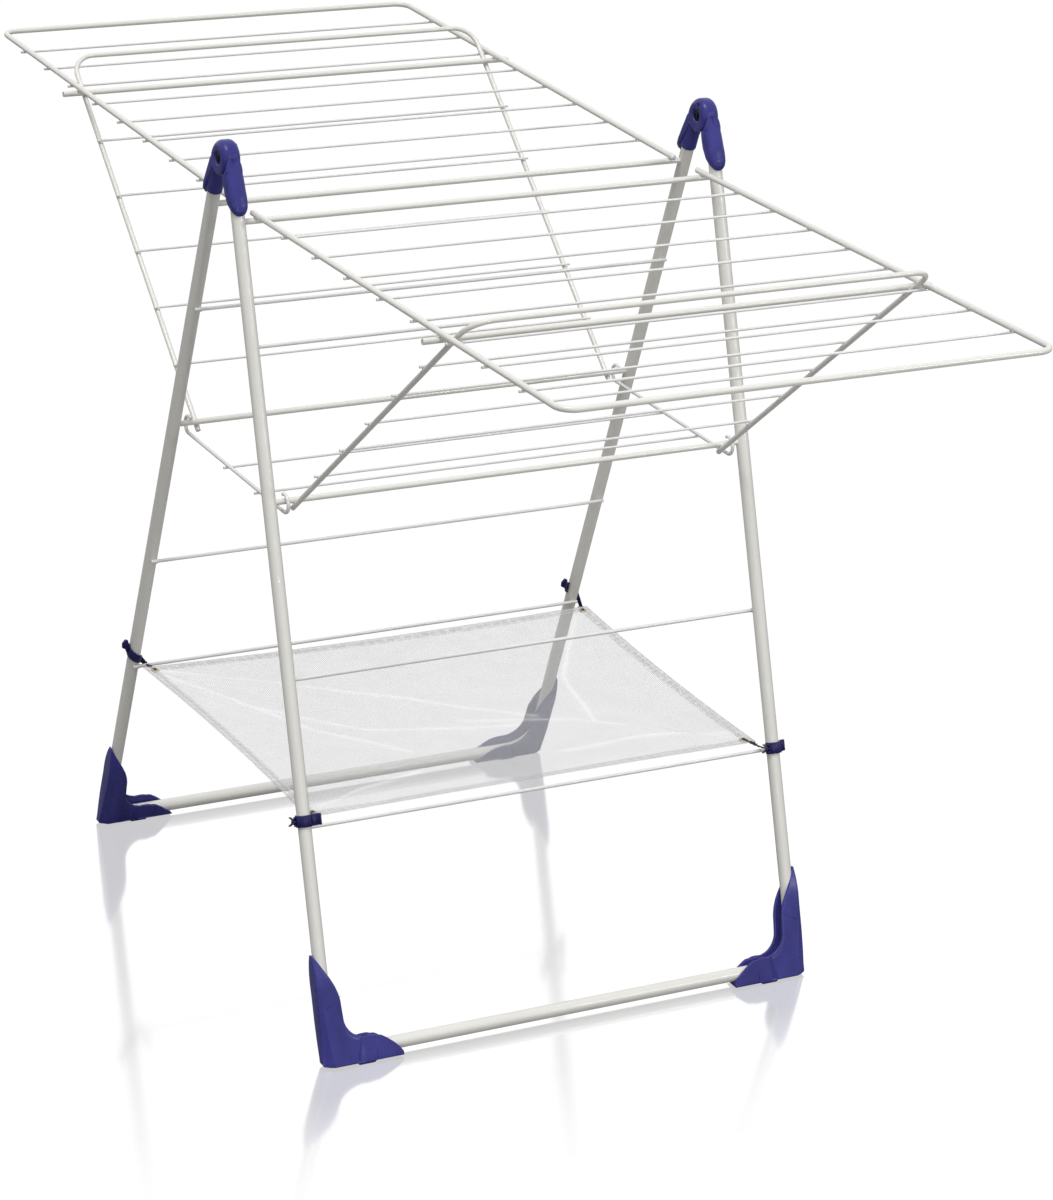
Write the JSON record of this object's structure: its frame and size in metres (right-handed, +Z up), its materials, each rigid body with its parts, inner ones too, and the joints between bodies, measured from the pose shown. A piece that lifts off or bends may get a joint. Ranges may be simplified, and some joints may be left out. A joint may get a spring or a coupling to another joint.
{
  "type": "clothes drying rack",
  "caption": "Free-standing winged clothes drying rack with hinged leg frames, folding upper wings, support wings, a link rack and a low net shelf.",
  "frame": {"origin": "on the floor under the middle of the rack", "axes": "+X along the hanging wires, -Y towards the front wing, +Z up"},
  "size_m": [0.741, 1.8022, 1.143],
  "materials": {
    "white_tube": "semi-gloss white powder coat",
    "white_wire": "white plastic-coated wire",
    "blue_plastic": "moulded violet-blue plastic",
    "navy_plastic": "moulded dark blue plastic",
    "rivet_steel": "plated rivet",
    "net_mesh": "fine white mesh with stitched hems",
    "tie_cord": "black elastic cord with a brass eyelet"
  },
  "bodies": {
    "rear_frame": {"rear_leg_tube": "white_tube", "rear_brace_high": "white_wire", "rear_brace_mid": "white_wire", "rear_brace_low": "white_wire", "rear_foot_left": "blue_plastic", "rear_cap_left": "blue_plastic", "rear_clip_left": "navy_plastic", "rear_net_tie_left": "tie_cord", "rear_foot_right": "blue_plastic", "rear_cap_right": "blue_plastic", "rear_clip_right": "navy_plastic", "rear_net_tie_right": "tie_cord", "head_pin_left": "rivet_steel", "head_pin_right": "rivet_steel", "net": "net_mesh"},
    "front_frame": {"front_leg_tube": "white_tube", "front_brace_high": "white_wire", "front_brace_mid": "white_wire", "front_brace_low": "white_wire", "front_foot_left": "blue_plastic", "front_cap_left": "blue_plastic", "front_clip_left": "navy_plastic", "front_net_tie_left": "tie_cord", "front_foot_right": "blue_plastic", "front_cap_right": "blue_plastic", "front_clip_right": "navy_plastic", "front_net_tie_right": "tie_cord"},
    "link_rack": {"link_rail_left": "white_wire", "link_rail_right": "white_wire", "link_wire_front": "white_wire", "link_wire_rear": "white_wire"},
    "rear_upper_wing": {"rear_upper_frame": "white_tube", "rear_upper_pivot_rod": "white_tube", "rear_upper_wire_1": "white_wire", "rear_upper_wire_2": "white_wire", "rear_upper_wire_3": "white_wire", "rear_upper_wire_4": "white_wire", "rear_upper_wire_5": "white_wire", "rear_upper_wire_6": "white_wire", "rear_upper_wire_7": "white_wire", "rear_upper_wire_8": "white_wire"},
    "rear_lower_wing": {"rear_lower_frame": "white_tube", "rear_lower_pivot_rod": "white_tube", "rear_support_rod": "white_tube", "rear_lower_wires": "white_wire"},
    "front_upper_wing": {"front_upper_frame": "white_tube", "front_upper_pivot_rod": "white_tube", "front_upper_wire_1": "white_wire", "front_upper_wire_2": "white_wire", "front_upper_wire_3": "white_wire", "front_upper_wire_4": "white_wire", "front_upper_wire_5": "white_wire", "front_upper_wire_6": "white_wire", "front_upper_wire_7": "white_wire", "front_upper_wire_8": "white_wire"},
    "front_lower_wing": {"front_lower_frame": "white_tube", "front_lower_pivot_rod": "white_tube", "front_support_rod": "white_tube", "front_lower_wires": "white_wire"}
  },
  "joints": [
    {"name": "leg_fold", "type": "hinge", "parent": "rear_frame", "child": "front_frame", "pos_m": [0, 0, 1.12], "axis": [1, 0, 0], "range_deg": [0, 35], "deforming": ["net", "front_net_tie_left", "front_net_tie_right"]},
    {"name": "link_swing", "type": "hinge", "parent": "rear_frame", "child": "link_rack", "pos_m": [0, 0.16162, 0.7015], "axis": [1, 0, 0], "range_deg": [0, 18]},
    {"name": "rear_wing_lift", "type": "hinge", "parent": "rear_frame", "child": "rear_upper_wing", "pos_m": [0, 0.04401, 1.045], "axis": [1, 0, 0], "range_deg": [0, 60]},
    {"name": "rear_support_swing", "type": "hinge", "parent": "rear_frame", "child": "rear_lower_wing", "pos_m": [0, 0.16162, 0.7015], "axis": [1, 0, 0], "range_deg": [0, 47]},
    {"name": "front_wing_lift", "type": "hinge", "parent": "front_frame", "child": "front_upper_wing", "pos_m": [0, -0.04401, 1.045], "axis": [-1, 0, 0], "range_deg": [0, 60]},
    {"name": "front_support_swing", "type": "hinge", "parent": "front_frame", "child": "front_lower_wing", "pos_m": [0, -0.16162, 0.7015], "axis": [-1, 0, 0], "range_deg": [0, 47]}
  ],
  "couplings": [
    {"joint": "link_swing", "follows": "leg_fold", "ratio": 0.5},
    {"joint": "rear_support_swing", "follows": "rear_wing_lift", "ratio": 0.77},
    {"joint": "front_support_swing", "follows": "front_wing_lift", "ratio": 0.77}
  ]
}
